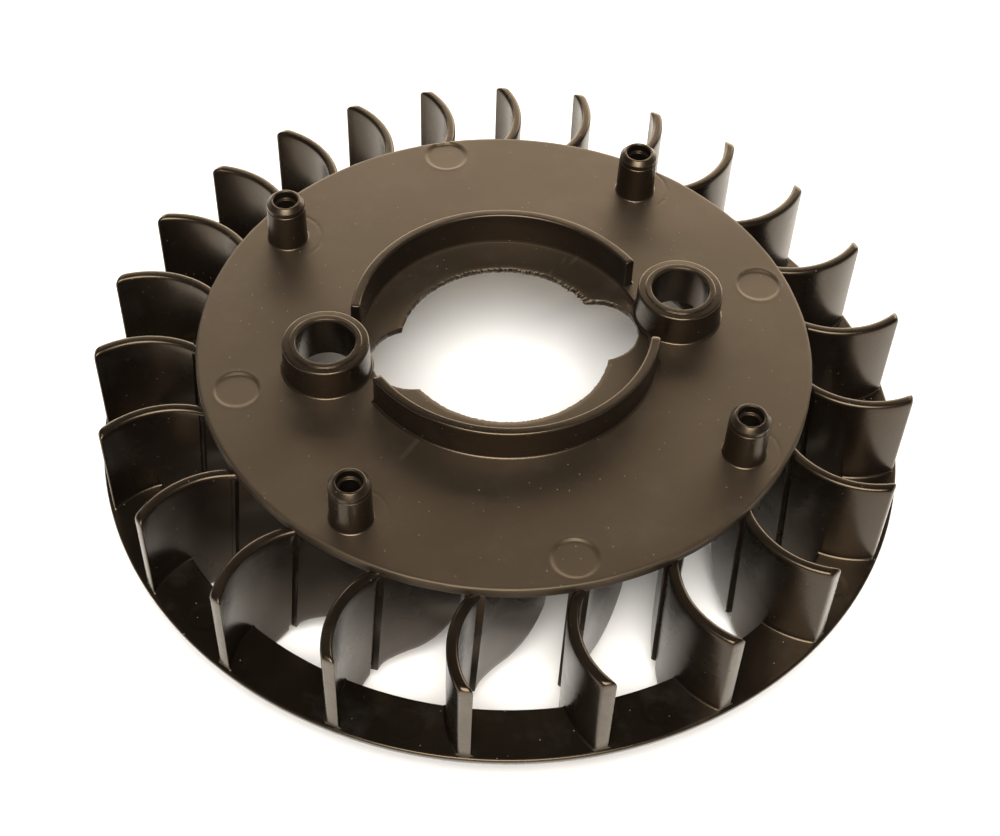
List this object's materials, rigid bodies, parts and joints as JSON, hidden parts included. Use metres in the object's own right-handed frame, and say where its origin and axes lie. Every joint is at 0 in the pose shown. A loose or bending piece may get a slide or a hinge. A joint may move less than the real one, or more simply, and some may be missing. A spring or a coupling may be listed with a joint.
{
  "type": "flywheel cooling fan",
  "caption": "Moulded plastic cooling fan that bolts on top of a small engine's flywheel, with curved vanes, drive bosses, a split collar and screen posts.",
  "frame": {"origin": "centre of the bounding box's bottom face, on the axis of rotation, level with the vane feet", "axes": "+Z along the axis of rotation towards the screen posts, X through the two drive bosses, -Y towards the front of the pictured view"},
  "size_m": [0.22, 0.22, 0.0594],
  "materials": {
    "moulded_nylon": "satin dark brown-black moulded plastic"
  },
  "bodies": {
    "root": {"hub_plate": "moulded_nylon", "disc_rim": "moulded_nylon", "base_ring": "moulded_nylon", "collar_rear": "moulded_nylon", "collar_front": "moulded_nylon", "boss_left": "moulded_nylon", "boss_right": "moulded_nylon", "post_front_left": "moulded_nylon", "post_front_right": "moulded_nylon", "post_rear_left": "moulded_nylon", "post_rear_right": "moulded_nylon", "vane_01": "moulded_nylon", "vane_02": "moulded_nylon", "vane_03": "moulded_nylon", "vane_04": "moulded_nylon", "vane_05": "moulded_nylon", "vane_06": "moulded_nylon", "vane_07": "moulded_nylon", "vane_08": "moulded_nylon", "vane_09": "moulded_nylon", "vane_10": "moulded_nylon", "vane_11": "moulded_nylon", "vane_12": "moulded_nylon", "vane_13": "moulded_nylon", "vane_14": "moulded_nylon", "vane_15": "moulded_nylon", "vane_16": "moulded_nylon", "vane_17": "moulded_nylon", "vane_18": "moulded_nylon", "vane_19": "moulded_nylon", "vane_20": "moulded_nylon", "vane_21": "moulded_nylon", "vane_22": "moulded_nylon", "vane_23": "moulded_nylon", "vane_24": "moulded_nylon"}
  },
  "joints": []
}
